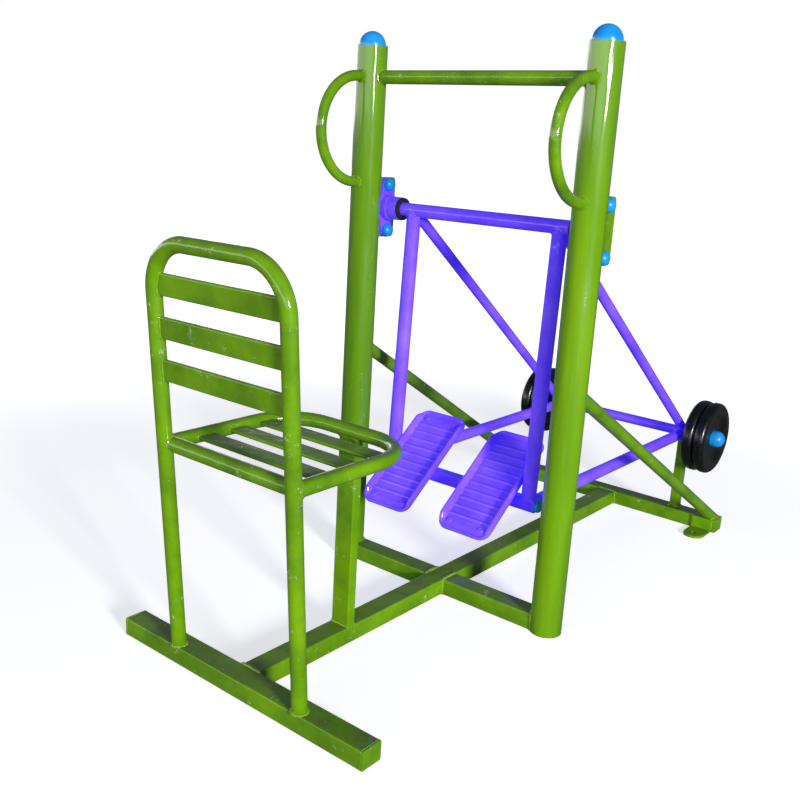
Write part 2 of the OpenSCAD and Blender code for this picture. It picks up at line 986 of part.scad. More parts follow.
module right_hanger() {
  hanger(1);
}

module diagonal(side) {
  up = (hanger_top - hanger_bottom)/norm(hanger_top - hanger_bottom);
  color(purple) place() mirror_x(side)
    difference() {
      tube(hanger_top, diag_bottom, diag_d/2, swing_wall, arm_d);
      pivot_cut();
      axle_cut();
      bar(hanger_top + up*pivot_d, hanger_bottom, hanger_d/2 + weld_gap);
      bar([arm_x, pivot_y, axle_z], [arm_x, axle_y + arm_d, axle_z], arm_d/2 + weld_gap);
    }
}

module left_diagonal() {
  diagonal(-1);
}

module right_diagonal() {
  diagonal(1);
}

module arm(side) {
  beam_front = foot_beam_y + foot_beam_t/2;
  color(purple) place() mirror_x(side)
    difference() {
      tube([arm_x, beam_front, axle_z], [arm_x, axle_y, axle_z], arm_d/2, swing_wall);
      axle_cut();
      bar(hanger_top, hanger_bottom, hanger_d/2 + weld_gap);
    }
}

module left_arm() {
  arm(-1);
}

module right_arm() {
  arm(1);
}

module axle_tube() {
  color(purple) place()
    difference() {
      bar_x(-axle_half, axle_half, axle_y, axle_z, axle_d/2);
      bar_x(-axle_half - cut, axle_half + cut, axle_y, axle_z, axle_d/2 - swing_wall);
    }
}

module foot_beam() {
  color(purple) place()
    box_x(-foot_beam_half, foot_beam_half, foot_beam_y, foot_beam_z - foot_beam_h/2,
      foot_beam_t, foot_beam_h, swing_wall, foot_beam_round);
}

// Push-in end cap: a square plug, a thin flange over the beam's end and a round dome
module beam_caps() {
  plug_t = foot_beam_t - swing_wall*2 - run_gap*2;
  plug_h = foot_beam_h - swing_wall*2 - run_gap*2;
  dome_r = foot_beam_t/2;
  color(blue) place()
    for (side = [-1, 1])
      mirror_x(side)
        translate([foot_beam_half, foot_beam_y, foot_beam_z]) {
          rotate([90, 0, 90])
            linear_extrude(beam_flange_t)
              round_rect(foot_beam_t, foot_beam_h, foot_beam_round);
          translate([-beam_plug_len, 0, 0])
            rotate([90, 0, 90])
              linear_extrude(beam_plug_len + tiny)
                round_rect(plug_t, plug_h, max(foot_beam_round - swing_wall, tiny));
          translate([beam_flange_t - tiny, 0, 0])
            rotate([0, 90, 0])
              dome_cover(dome_r, beam_cap_h, dome_r/2, beam_cap_h/2, dome_r/4, beam_cap_h/2);
        }
}

// Local frame of a footplate: origin on its underside, +Y up the slope, +Z out of the tread
module plate_place(side) {
  place()
    translate([side*plate_x, foot_beam_y, foot_beam_z])
      rotate([plate_tilt, 0, 0])
        translate([0, plate_slide, plate_off])
          children();
}

module screw_spots() {
  for (sx = [-1, 1], sy = [-1, 1])
    translate([sx*screw_dx/2, sy*screw_dy/2, 0])
      children();
}

// Footplate: a web with rounded corners, raised rims on both long sides, a low lip at
// both ends and transverse ribs
module footplate(side) {
  tread_w = plate_w - plate_rim_w*2;
  rib_room = plate_len - plate_corner_r*rib_end_share*2;
  color(purple)
    plate_place(side)
      difference() {
        union() {
          linear_extrude(plate_t)
            round_rect(plate_w, plate_len, plate_corner_r);
          difference() {
            linear_extrude(plate_t + lip_h)
              round_rect(plate_w, plate_len, plate_corner_r);
            translate([0, 0, -cut])
              linear_extrude(plate_rim_h)
                round_rect(tread_w, plate_len - rib_w*2, plate_corner_r - rib_w);
          }
          intersection() {
            linear_extrude(plate_rim_h)
              round_rect(plate_w, plate_len, plate_corner_r);
            for (s = [-1, 1])
              translate([s*(plate_w - plate_rim_w)/2, 0, plate_rim_h/2])
                cube([plate_rim_w, plate_len - plate_corner_r, plate_rim_h], center = true);
          }
          for (i = [0 : plate_ribs - 1])
            translate([-tread_w/2 - tiny,
                -rib_room/2 + rib_room*i/(plate_ribs - 1) - rib_w/2, plate_t - tiny])
              cube([tread_w + tiny*2, rib_w, rib_h + tiny]);
        }
        screw_spots()
          translate([0, 0, -cut])
            cylinder(r = screw_d/2 + bolt_play, h = plate_rim_h);
        screw_spots()
          translate([0, 0, plate_t])
            cylinder(r = screw_head_r + bolt_play, h = plate_rim_h);
      }
}

module left_footplate() {
  footplate(-1);
}

module right_footplate() {
  footplate(1);
}

// Carrier under a footplate: a flat plate on two gussets that sit on the foot beam
module carrier(side) {
  color(purple)
    difference() {
      plate_place(side) {
        translate([-carrier_w/2, -carrier_len/2, -carrier_t])
          cube([carrier_w, carrier_len, carrier_t]);
        for (s = [-1, 1])
          translate([s*gusset_gap/2 - carrier_t/2, -plate_slide, -plate_off])
            rotate([90, 0, 90])
              linear_extrude(carrier_t)
                polygon([[-gusset_len/2, plate_off - carrier_t + tiny],
                  [gusset_len/2, plate_off - carrier_t + tiny],
                  [foot_beam_t*gusset_low_share, foot_beam_h*gusset_rise_share],
                  [-foot_beam_t*gusset_low_share, 0]]);
      }
      place()
        translate([-far, foot_beam_y - foot_beam_t/2 - weld_gap,
            foot_beam_z - foot_beam_h/2 - weld_gap])
          cube([far*2, foot_beam_t + weld_gap*2, foot_beam_h + weld_gap*2]);
      plate_place(side)
        screw_spots()
          translate([0, 0, -carrier_t - cut])
            cylinder(r = screw_d/2 + bolt_play, h = carrier_t + cut*2);
    }
}

module left_carrier() {
  carrier(-1);
}

module right_carrier() {
  carrier(1);
}

module plate_screws() {
  color(steel)
    for (side = [-1, 1])
      plate_place(side)
        screw_spots() {
          translate([0, 0, plate_t])
            cylinder(r = screw_head_r, h = screw_head_t);
          translate([0, 0, -carrier_t - screw_nut_t - bolt_over])
            cylinder(r = screw_d/2, h = carrier_t + screw_nut_t + plate_t + bolt_over + tiny);
        }
}

module plate_nuts() {
  color(steel)
    for (side = [-1, 1])
      plate_place(side)
        screw_spots()
          translate([0, 0, -carrier_t - screw_nut_t])
            difference() {
              cylinder(r = screw_nut_r, h = screw_nut_t, $fn = 6);
              translate([0, 0, -cut])
                cylinder(r = screw_d/2 + run_gap, h = screw_nut_t + cut*2);
            }
}

// Weight disc turned about Z: rounded rim, flat back, a dish with a sloping wall in its
// outer face and a bore. Its back lies at z = 0.
module weight_disc() {
  r = weight_d/2;
  bore = stud_d/2 + bolt_play;
  steps = 6;
  rotate_extrude()
    polygon(concat(
      [[bore, 0]],
      [for (i = [0 : steps])
        [r - weight_round + weight_round*sin(90*i/steps),
         weight_round - weight_round*cos(90*i/steps)]],
      [for (i = [0 : steps])
        [r - weight_round + weight_round*cos(90*i/steps),
         weight_t - weight_round + weight_round*sin(90*i/steps)]],
      [[dish_d/2, weight_t], [dish_d/2 - dish_t, weight_t - dish_t], [bore, weight_t - dish_t]]));
}

module weights_at(x) {
  color(black) place()
    for (side = [-1, 1])
      mirror_x(side)
        translate([x, axle_y, axle_z])
          rotate([0, 90, 0])
            weight_disc();
}

module inner_weights() {
  weights_at(weight_x1);
}

module outer_weights() {
  weights_at(weight_x2);
}

// Turned stud: a thick root inside the axle tube and a threaded end outside it
module weight_studs() {
  color(steel) place()
    for (side = [-1, 1])
      mirror_x(side) {
        bar_x(axle_half - plug_len, axle_half, axle_y, axle_z,
          axle_d/2 - swing_wall - run_gap);
        bar_x(axle_half - tiny, weight_end_x + washer_t + nut_t + stud_over, axle_y, axle_z, stud_d/2);
      }
}

module weight_washers() {
  color(steel) place()
    for (side = [-1, 1])
      mirror_x(side)
        difference() {
          bar_x(weight_end_x, weight_end_x + washer_t, axle_y, axle_z, washer_r);
          bar_x(weight_end_x - cut, weight_end_x + washer_t + cut, axle_y, axle_z,
            stud_d/2 + bolt_play);
        }
}

module weight_nuts() {
  color(steel) place()
    for (side = [-1, 1])
      mirror_x(side)
        translate([0, axle_y, axle_z])
          difference() {
            hex_x(weight_end_x + washer_t, nut_t, nut_r);
            bar_x(weight_end_x, weight_end_x + far, 0, 0, stud_d/2 + run_gap);
          }
}

module nut_covers() {
  color(blue) place()
    for (side = [-1, 1])
      mirror_x(side)
        translate([weight_end_x, axle_y, axle_z])
          rotate([0, 90, 0])
            dome_cover(nut_cover_d/2, nut_cover_h, cover_cavity_r, washer_t + bolt_play,
              nut_r + bolt_play, washer_t + nut_t + nut_over);
}

rear_crossbar();
spine();
left_cross_arm();
right_cross_arm();
front_crossbar();
rear_end_plates();
front_end_plates();
left_anchor_foot();
right_anchor_foot();
left_post();
right_post();
post_caps();
top_bar();
left_handle();
right_handle();
left_brace();
right_brace();
left_stop_post();
right_stop_post();
stop_pads();
back_frame();
back_slats();
seat_ring();
seat_rear_tube();
seat_slats();
seat_support();
left_bracket();
right_bracket();
left_housing();
right_housing();
bearings();
shaft_seals();
flange_bolts();
flange_nuts();
bolt_covers();
pivot_tube();
stub_shafts();
left_hanger();
right_hanger();
left_diagonal();
right_diagonal();
left_arm();
right_arm();
axle_tube();
foot_beam();
beam_caps();
left_footplate();
right_footplate();
left_carrier();
right_carrier();
plate_screws();
plate_nuts();
inner_weights();
outer_weights();
weight_studs();
weight_washers();
weight_nuts();
nut_covers();
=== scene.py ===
# %% [markdown]
# # Outdoor seated leg press
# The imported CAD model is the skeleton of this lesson. It already has every tube, plate and
# bolt in its place. What it lacks is what makes a welded and painted machine look real: weld
# beads at the joints, cast and pressed shapes with soft edges, and paint that varies.
# Each step below says what the real thing is and why it is made the way it is made.

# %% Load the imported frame
import json
import bpy
import bmesh
import numpy as np
from mathutils import Matrix, Vector


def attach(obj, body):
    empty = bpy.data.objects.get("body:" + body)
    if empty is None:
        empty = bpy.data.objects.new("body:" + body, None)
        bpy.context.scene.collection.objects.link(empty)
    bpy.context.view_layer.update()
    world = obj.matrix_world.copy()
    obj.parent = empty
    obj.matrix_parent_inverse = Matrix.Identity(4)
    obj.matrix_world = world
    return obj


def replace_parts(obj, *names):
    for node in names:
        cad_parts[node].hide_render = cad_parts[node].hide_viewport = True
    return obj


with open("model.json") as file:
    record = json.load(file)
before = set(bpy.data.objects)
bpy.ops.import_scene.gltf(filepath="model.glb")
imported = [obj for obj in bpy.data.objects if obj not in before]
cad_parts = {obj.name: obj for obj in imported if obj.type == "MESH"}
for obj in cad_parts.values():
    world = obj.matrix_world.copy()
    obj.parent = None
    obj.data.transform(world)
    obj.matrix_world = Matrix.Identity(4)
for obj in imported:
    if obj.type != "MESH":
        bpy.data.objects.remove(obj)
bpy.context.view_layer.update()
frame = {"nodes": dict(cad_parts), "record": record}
slot_of = {part["node"]: part["material_slot"] for part in frame["record"]["subparts"]}

# %% [markdown]
# ## Lines of the machine
# Weld beads and pressed parts have to lie exactly on the CAD's tubes. A tube is known by its
# centre line and its radius, so the same lines are written here once. Points are given in
# millimetres, as on a drawing: x from the machine's middle, y from the rear face of the rear
# crossbar and z from the ground. The posts' and the seat's numbers below are parts of such
# points. Everything else is in metres, unless a cell says that it isn't.

# %% Centre lines and radii
REAR_FACE = -0.84686


def at(x, y, z):
    """Metres from millimetres: (x/1000, REAR_FACE + y/1000, z/1000)."""
    return np.array([x/1000, REAR_FACE + y/1000, z/1000])


X, Y, Z = np.eye(3)
POST_R, LEG_R, HANDLE_R = 0.038, 0.016, 0.0125
BRACE_R, HANGER_R, DIAGONAL_R, ARM_R = 0.016, 0.018, 0.0135, 0.016
PIVOT_R, AXLE_R = 0.017, 0.015
POST_X, POST_Y = 316, 704
SEAT_X, SEAT_Z = 182, 499
HANGER_X, ARM_X = 0.211, 0.219
LEAN = np.radians(4.2)
pivot = at(0, 773, 941)
axle = at(0, 1651, 285)
beam = at(0, 747, 282)
print("pivot", pivot.round(4), "axle", axle.round(4), "foot beam", beam.round(4))

# %% [markdown]
# ## One way to make a surface
# Every new piece here is a grid of points worked out with numpy: a profile carried along a
# path, or a height over a plate. One function turns such grids into a mesh. It closes the
# seams by merging points that meet, turns all faces outwards and shades them smooth, apart
# from edges sharper than a given angle.

# %% Surfaces from grids
def surface(name, grids, body, material, sharp=40):
    """Each grid is (points of shape m x n x 3, closes along m, closes along n). A face joins
    the points (i, j), (i+1, j), (i+1, j+1) and (i, j+1)."""
    points, faces, start = [], [], 0
    for grid, round_m, round_n in grids:
        m, n = grid.shape[:2]
        i = np.arange(m if round_m else m - 1)[:, None]
        j = np.arange(n if round_n else n - 1)[None, :]
        i2, j2 = (i + 1) % m, (j + 1) % n
        quad = [i*n + j, i2*n + j, i2*n + j2, i*n + j2]
        faces.append(np.stack(np.broadcast_arrays(*quad), -1).reshape(-1, 4) + start)
        points.append(grid.reshape(-1, 3))
        start += m*n
    mesh = bpy.data.meshes.new(name)
    mesh.from_pydata(np.concatenate(points), [], np.concatenate(faces))
    work = bmesh.new()
    work.from_mesh(mesh)
    bmesh.ops.remove_doubles(work, verts=work.verts, dist=2e-6)
    bmesh.ops.dissolve_degenerate(work, edges=work.edges, dist=1e-7)
    bmesh.ops.recalc_face_normals(work, faces=work.faces)
    work.to_mesh(mesh)
    work.free()
    mesh.shade_smooth()
    mesh.set_sharp_from_angle(angle=np.radians(sharp))
    mesh.materials.append(material)
    piece = bpy.data.objects.new(name, mesh)
    bpy.context.scene.collection.objects.link(piece)
    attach(piece, body)
    print(f"{name}: {len(mesh.polygons)} faces")
    return piece


def turned(profile, count):
    """A turned shape about the X axis: every profile point (x, r) runs round a circle of
    count points, P = (x, r cos t, r sin t)."""
    t = np.linspace(0, 2*np.pi, count, endpoint=False)[None, :]
    x, r = profile[:, :1], profile[:, 1:]
    return np.stack([x + 0*t, r*np.cos(t), r*np.sin(t)], -1)

# %% [markdown]
# ## Paint, plastic, rubber and metal
# All colour comes from shader nodes on Object coordinates, so a pattern is as large on the
# model as on the real thing. One function adds a node with its settings and its links, and
# one turns an sRGB hex value into the linear colour that the shader wants.

# %% Colour and node helpers
def linear(hex_value):
    """sRGB to linear, channel by channel: c/12.92 near black, else ((c + 0.055)/1.055)^2.4."""
    c = np.array([int(hex_value[i:i + 2], 16) for i in (1, 3, 5)])/255
    rgb = np.where(c <= 0.04045, c/12.92, ((c + 0.055)/1.055)**2.4)
    return (*map(float, rgb), 1.0)


def per_mm(size):
    """The Scale of a noise whose features are about that many millimetres wide."""
    return 1000/size


def add(tree, kind, settings=None, links=None, stops=None):
    """Adds one node. A setting is an input socket's value or the node's own property, a link
    feeds a socket from another node's output, and stops are a colour ramp's."""
    node = tree.nodes.new(kind)
    for key, value in (settings or {}).items():
        if isinstance(key, int) or key in node.inputs:
            node.inputs[key].default_value = value
        else:
            setattr(node, key, value)
    for key, source in (links or {}).items():
        tree.links.new(source, node.inputs[key])
    if stops:
        ramp = node.color_ramp
        while len(ramp.elements) < len(stops):
            ramp.elements.new(0.5)
        for element, (position, colour) in zip(ramp.elements, stops):
            element.position, element.color = position, colour
    return node


def new_material(name):
    """An empty material and its Principled shader, joined to the output."""
    material = bpy.data.materials.new(name)
    material.use_nodes = True
    tree = material.node_tree
    tree.nodes.clear()
    shader = add(tree, "ShaderNodeBsdfPrincipled")
    add(tree, "ShaderNodeOutputMaterial", links={"Surface": shader.outputs[0]})
    return material, tree, shader

# %% [markdown]
# ## Gloss enamel on welded steel
# The stand and the swing frame are mild steel tube, sprayed with a thick gloss enamel. To the
# eye that means three things. The colour wanders a little where the coat is thicker or
# sun-bleached, and level faces turn to a dark olive in patches. The gloss is high but uneven,
# because the spray left orange peel about 2 mm wide and soft sags about 25 mm wide, and ran
# down the posts. And handling has left pale scuffs and pin-head chips. A clear coat over a
# rougher base gives the sharp white lights on a saturated colour. The violet looks blue even
# in the shade. Real paint has no light of its own, but a weak blue one stands in for that here.

# %% Enamel
def enamel(name, thin, body, thick, scuff, chips, sag=0.35, rough=0.44, lift=0.0,
           run=(1, 1, 1), darken_tops=0.0):
    """Colour runs thin - body - thick with a 110 mm noise. Scuffs are where a 34 mm noise
    plus half a 3 mm noise is above the threshold chips + 0.16. sag is the strength of the
    sags and rough the base coat's roughness. run squeezes the noises' coordinates, so that a
    small value draws them out along that axis. darken_tops is how far level faces turn to a
    dark olive where the 34 mm noise is high, and lift the strength of the weak blue light."""
    material, tree, shader = new_material(name)
    spot = add(tree, "ShaderNodeTexCoord").outputs["Object"]
    place = add(tree, "ShaderNodeVectorMath", {"operation": "MULTIPLY", 1: run},
                {0: spot}).outputs[0]
    cloud = add(tree, "ShaderNodeTexNoise", {"Scale": per_mm(110), "Detail": 5.0,
                "Roughness": 0.62}, {"Vector": place})
    coat = add(tree, "ShaderNodeValToRGB", links={0: cloud.outputs[0]},
               stops=[(0.30, linear(thick)), (0.52, linear(body)), (0.74, linear(thin))])
    wear = add(tree, "ShaderNodeTexNoise", {"Scale": per_mm(34), "Detail": 8.0,
               "Roughness": 0.72, "Distortion": 0.6}, {"Vector": place})
    facing = add(tree, "ShaderNodeSeparateXYZ",
                 links={0: add(tree, "ShaderNodeNewGeometry").outputs["Normal"]})
    # Level faces turn to a dark olive in patches, where the 34 mm noise is high.
    level = add(tree, "ShaderNodeMapRange", {"From Min": 0.6, "From Max": 0.95, "To Max": darken_tops},
                {"Value": facing.outputs[2]})
    top_patches = add(tree, "ShaderNodeMath", {"operation": "MULTIPLY"},
               {0: level.outputs[0], 1: wear.outputs[0]})
    tops_darkened = add(tree, "ShaderNodeMix", {"data_type": "RGBA", 7: linear("#50541C")},
                {0: top_patches.outputs[0], 6: coat.outputs[0]})
    pits = add(tree, "ShaderNodeTexNoise", {"Scale": per_mm(3.2), "Detail": 3.0,
               "Roughness": 0.6}, {"Vector": spot})
    both = add(tree, "ShaderNodeMath", {"operation": "MULTIPLY_ADD", 1: 0.5},
               {0: pits.outputs[0], 2: wear.outputs[0]})
    mask = add(tree, "ShaderNodeMapRange", {"From Min": chips + 0.16, "From Max": chips + 0.24},
               {"Value": both.outputs[0]})
    colour = add(tree, "ShaderNodeMix", {"data_type": "RGBA", 7: linear(scuff)},
                 {0: mask.outputs[0], 6: tops_darkened.outputs[2]})
    gloss = add(tree, "ShaderNodeMapRange", {"From Min": 0.3, "From Max": 0.75,
                "To Min": rough - 0.06, "To Max": rough + 0.14}, {"Value": wear.outputs[0]})
    peel = add(tree, "ShaderNodeTexNoise", {"Scale": per_mm(2.2), "Detail": 1.0},
               {"Vector": spot})
    sags = add(tree, "ShaderNodeTexNoise", {"Scale": per_mm(26), "Detail": 2.0},
               {"Vector": place})
    bump1 = add(tree, "ShaderNodeBump", {"Strength": 0.12, "Distance": 0.0003},
                {"Height": peel.outputs[0]})
    bump2 = add(tree, "ShaderNodeBump", {"Strength": sag, "Distance": 0.003},
                {"Height": sags.outputs[0], "Normal": bump1.outputs[0]})
    for socket, source in (("Base Color", colour.outputs[2]), ("Roughness", gloss.outputs[0]),
                           ("Normal", bump2.outputs[0]), ("Coat Normal", bump2.outputs[0])):
        tree.links.new(source, shader.inputs[socket])
    shader.inputs["Specular IOR Level"].default_value = 0.15
    shader.inputs["Coat Weight"].default_value = 0.9
    shader.inputs["Coat Roughness"].default_value = 0.08
    shader.inputs["Emission Color"].default_value = linear("#1000FF")
    shader.inputs["Emission Strength"].default_value = lift
    return material


green_enamel = enamel("green_gloss_enamel", "#84B600", "#6EA200", "#568600", "#E4EEC8",
                      chips=0.74, darken_tops=0.7)
green_upright = enamel("green_enamel_with_runs", "#84B600", "#6EA200", "#588A00", "#E4EEC8",
                       sag=0.8, chips=0.78, run=(1, 1, 0.12))
# The beads' green is drawn lighter than the body's green: a painted highlight for the light
# that the beads catch.
green_weld_drawn_lighter = enamel("green_enamel_on_weld_painted_lighter", "#94BC20", "#7AAA0A", "#689400", "#E4EEC0",
                    sag=0.6, chips=0.72, rough=0.46)
violet_enamel = enamel("violet_gloss_enamel", "#A070FF", "#8C5EFF", "#7448FF", "#C9B8FF",
                       chips=0.82, lift=0.38)
violet_weld = enamel("violet_enamel_on_weld", "#A070FF", "#8C5EFF", "#7448FF", "#C9B8FF",
                     sag=0.6, chips=0.78, rough=0.46, lift=0.38)
print("enamels:", [m.name for m in (green_enamel, green_upright, green_weld_drawn_lighter, violet_enamel,
                                    violet_weld)])

# %% [markdown]
# ## Moulded plastic, coated iron, rubber and zinc
# The caps and bolt covers are moulded polyethylene: a bright pigment and an even satin
# gloss. The weight discs are grey iron cast in sand and dipped in gloss black, so their gloss
# lies over a grain of about 1.5 mm. The stop pads and seals are matt black rubber. Bolts and
# nuts are zinc plated, whose crystals are too fine to see, so the grain is drawn at 4 mm,
# coarse enough to show as a faint mottle. The CAD says for every node which finish it has,
# and only the two posts get the enamel with runs.

# %% Plastic, iron, rubber, zinc
def grained(name, dark, light, size, low, high, strength, depth, **constants):
    """A noise of the given size drives the bump, one 14 times as broad the roughness from
    low to high, and the two mixed the colour from dark to light."""
    material, tree, shader = new_material(name)
    place = add(tree, "ShaderNodeTexCoord").outputs["Object"]
    grain = add(tree, "ShaderNodeTexNoise", {"Scale": per_mm(size), "Detail": 4.0},
                {"Vector": place})
    broad = add(tree, "ShaderNodeTexNoise", {"Scale": per_mm(size*14), "Detail": 3.0},
                {"Vector": place})
    mixed = add(tree, "ShaderNodeMath", {"operation": "MULTIPLY_ADD", 1: 0.4},
                {0: grain.outputs[0], 2: broad.outputs[0]})
    colour = add(tree, "ShaderNodeValToRGB", links={0: mixed.outputs[0]},
                 stops=[(0.5, linear(dark)), (0.92, linear(light))])
    rough = add(tree, "ShaderNodeMapRange", {"From Min": 0.3, "From Max": 0.7,
                "To Min": low, "To Max": high}, {"Value": broad.outputs[0]})
    bump = add(tree, "ShaderNodeBump", {"Strength": strength, "Distance": depth},
               {"Height": grain.outputs[0]})
    for socket, source in (("Base Color", colour.outputs[0]), ("Roughness", rough.outputs[0]),
                           ("Normal", bump.outputs[0])):
        tree.links.new(source, shader.inputs[socket])
    for key, value in constants.items():
        shader.inputs[key.replace("_", " ")].default_value = value
    return material


blue_plastic = grained("blue_moulded_polyethylene", "#0C8FE6", "#22A8FA", 2.5, 0.24, 0.36,
                       0.08, 0.0004, IOR=1.51)
black_iron = grained("black_dipped_cast_iron", "#060607", "#101012", 1.5, 0.22, 0.38,
                     0.22, 0.0006, IOR=1.45, Coat_Weight=0.25, Coat_Roughness=0.15)
black_rubber = grained("black_moulded_rubber", "#121212", "#1E1E1E", 1.2, 0.6, 0.75,
                       0.25, 0.0004, IOR=1.52)
zinc_steel = grained("zinc_plated_steel", "#A9ABAE", "#C6C8CA", 4.0, 0.28, 0.42,
                     0.10, 0.0003, Metallic=1.0)
finish_of = {"green_paint": green_enamel, "purple_paint": violet_enamel,
             "blue_plastic": blue_plastic, "black_iron": black_iron,
             "black_rubber": black_rubber, "zinc_steel": zinc_steel}
for node, piece in frame["nodes"].items():
    for pocket in piece.material_slots:
        pocket.material = finish_of[slot_of[node]]
for side in ("left", "right"):
    frame["nodes"][f"{side}_post"].material_slots[0].material = green_upright
print("nodes dressed:", len(frame["nodes"]))

# %% [markdown]
# ## Where a weld runs
# A weld bead follows the line where one part's outline meets another part's surface. Both
# parts are simple, so the line can be worked out instead of drawn. The outline of the part
# that ends is a ring of points with their outward normals. Each point slides along the
# part's own direction until it touches the other part. For a tube that step is repeated:
# the distance to its surface is the distance to its centre line minus its radius, and a
# point that moves by that distance can never pass through.

# %% Outlines
SPACING = 0.0013


def unit(v):
    """The vector, or every row of an array, at length one."""
    return v/np.linalg.norm(v, axis=-1, keepdims=True)


def round_outline(centre, direction, radius):
    """A circle: centre + r (cos t a + sin t b), with its normals cos t a + sin t b. a and b
    are square to the direction, and a is as near to X or Z as can be."""
    d = unit(direction)
    hint = X if abs(d[2]) > 0.7 else Z
    a = unit(hint - d*np.dot(d, hint))
    b = np.cross(d, a)
    count = max(24, round(2*np.pi*radius/SPACING))
    t = np.linspace(0, 2*np.pi, count, endpoint=False)[:, None]
    normal = np.cos(t)*a + np.sin(t)*b
    return centre + radius*normal, normal


def bar_outline(centre, a, b, width, height, corner):
    """A rectangle with round corners, width along a and height along b, walked at an even
    pace: a smaller rectangle's path grown outwards by the corner radius."""
    w, h = width/2 - corner, height/2 - corner
    corners = np.array([[w, -h], [w, h], [-w, h], [-w, -h]])
    lengths = [2*h, 2*w, 2*h, 2*w]
    points, normals = [], []
    for k in range(4):
        facing = k*np.pi/2
        t = np.linspace(facing - np.pi/2, facing, 5)[:-1, None]
        n = np.concatenate([np.cos(t), np.sin(t)], 1)
        points.append(corners[k] + corner*n)
        normals.append(n)
        steps = max(2, round(lengths[k]/SPACING))
        s = np.linspace(0, 1, steps, endpoint=False)[:, None]
        n = np.array([[np.cos(facing), np.sin(facing)]])
        points.append((corners[k] + corner*n) + s*(corners[(k + 1) % 4] - corners[k]))
        normals.append(np.repeat(n, steps, 0))
    p, n = np.concatenate(points), np.concatenate(normals)
    return centre + p[:, :1]*a + p[:, 1:]*b, n[:, :1]*a + n[:, 1:]*b


print("a 32 mm tube's outline has", len(round_outline(axle, X, 0.016)[0]), "points")

# %% [markdown]
# ## What the outline slides onto
# A post is a tube, a crossbar a box with rounded edges, and a flat face a plane. Each of the
# functions below makes a target: a function that tells for every point how far it is from
# the surface, and which way that surface faces there.

# %% Targets
LEAST_SQUARE, LEAST_OUT = 1e-15, 1e-9


def onto_tube(line, radius):
    """Distance to a tube along a line of points: the nearest point on every stretch of the
    line, then the nearest of these. LEAST_SQUARE keeps a stretch of no length from dividing
    by zero."""
    start, span = line[:-1], np.diff(line, axis=0)
    square = np.maximum((span**2).sum(-1), LEAST_SQUARE)

    def touch(p):
        share = ((p[:, None] - start)*span).sum(-1)/square
        near = start + np.clip(share, 0, 1)[..., None]*span
        away = p[:, None] - near
        far = np.linalg.norm(away, axis=-1)
        k = far.argmin(1)
        rows = np.arange(len(p))
        return far[rows, k] - radius, unit(away[rows, k])
    return touch


def onto_plane(point, normal):
    """Distance to a flat face: (p - point) . normal."""
    return lambda p: ((p - point) @ normal, np.repeat(normal[None], len(p), 0))


def onto_box(low, high, corner=0.004):
    """Distance to a box with rounded edges: q = |p - middle| - half, with the half sizes
    less the corner radius, and the distance is |max(q, 0)| + min(max(q), 0) - corner.
    LEAST_OUT in place of 0 keeps the direction of max(q, 0) known."""
    middle, half = (low + high)/2, (high - low)/2 - corner

    def touch(p):
        q = np.abs(p - middle) - half
        out = np.maximum(q, LEAST_OUT)
        far = np.linalg.norm(out, axis=1)
        return far + np.minimum(q.max(1), 0) - corner, np.sign(p - middle)*unit(out)
    return touch


def either(one, two):
    """The nearer of two targets, at every point."""
    def touch(p):
        (far1, n1), (far2, n2) = one(p), two(p)
        first = (far1 < far2)[:, None]
        return np.minimum(far1, far2), np.where(first, n1, n2)
    return touch


print("targets: tube, plane, box and the nearer of two")

# %% [markdown]
# ## Sliding until it touches
# Points that pass beside the target never come to rest, so they are told by the distance
# that is left. Where a tube is wider than the bar that it meets, they break the line in two.

# %% Slide
MOVES, LONGEST_MOVE, TOUCHING, SHORTEST_LINE = 90, 0.5, 5e-5, 6


def slide(outline, direction, touch):
    """Moves every outline point by p + d gap, over and over, and gives the lines of points
    that touch in the end, each with both surfaces' normals and whether it closes. Points
    that miss break the line."""
    p, normal = outline
    d = unit(direction)
    for _ in range(MOVES):
        gap = touch(p)[0]
        p = p + d*np.clip(gap, -LONGEST_MOVE, LONGEST_MOVE)[:, None]
    gap, other = touch(p)
    hit = np.abs(gap) < TOUCHING
    if hit.all():
        return [((p, normal, other), True)]
    order = np.roll(np.arange(len(p)), -np.flatnonzero(~hit)[0])
    runs = np.split(order, np.flatnonzero(np.diff(hit[order].astype(int))) + 1)
    return [((p[run], normal[run], other[run]), False) for run in runs
            if hit[run[0]] and len(run) >= SHORTEST_LINE]


tried = slide(round_outline(axle + 0.1*Z, X, AXLE_R), -Z, onto_plane(axle, Z))
print("a ring let down onto the axle's level stands at", tried[0][0][0][0].round(4))

# %% [markdown]
# ## A weld bead
# Hand-welded beads on such a machine are 5 to 7 mm wide. Every melted drop froze as a small
# scale, so the bead swells and narrows once every 4 mm or so, and its width wanders. The
# bead is a ring of eight points carried along the weld line, half sunk in the two parts,
# which gives the rounded fillet that shows. A bead that isn't closed fades out at its ends,
# and none goes below the ground.

# %% Beads
chance = np.random.default_rng(7)
BEAD_R, SCALE, SWELL, FADE, ABOVE_GROUND = 0.0028, 0.004, 0.13, 0.006, 0.0002


